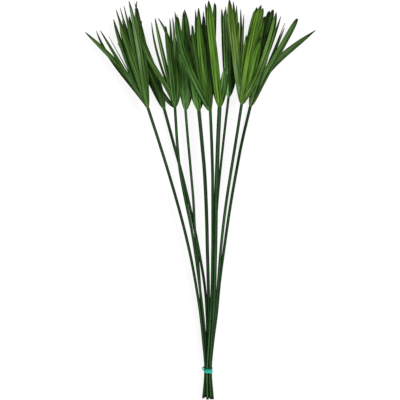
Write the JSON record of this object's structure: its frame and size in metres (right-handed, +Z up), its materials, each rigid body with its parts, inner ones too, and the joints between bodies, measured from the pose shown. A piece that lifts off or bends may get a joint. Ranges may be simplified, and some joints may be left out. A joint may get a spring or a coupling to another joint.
{
  "type": "bunch of papyrus",
  "caption": "Bunch of cut umbrella papyrus lying down: slender green stems held by a rubber band near their cut ends, each ending in a crown of long narrow leaves.",
  "frame": {"origin": "middle of the bunch's footprint, on the surface it lies on", "axes": "+Y along the bunch from its cut ends to its leaf tips, +X to the right seen from above with the tips away, +Z up from the surface"},
  "size_m": [0.4022, 0.7008, 0.0803],
  "materials": {
    "stem": "satin green plant stem",
    "leaf": "satin green leaf",
    "band": "smooth teal rubber"
  },
  "bodies": {
    "root": {"stem_01": "stem", "stem_02": "stem", "stem_03": "stem", "stem_04": "stem", "stem_05": "stem", "stem_06": "stem", "stem_07": "stem", "stem_08": "stem", "stem_09": "stem", "stem_10": "stem", "leaf_crown_01": "leaf", "leaf_crown_02": "leaf", "leaf_crown_03": "leaf", "leaf_crown_04": "leaf", "leaf_crown_05": "leaf", "leaf_crown_06": "leaf", "leaf_crown_07": "leaf", "leaf_crown_08": "leaf", "leaf_crown_09": "leaf", "leaf_crown_10": "leaf", "rubber_band": "band"}
  },
  "joints": []
}
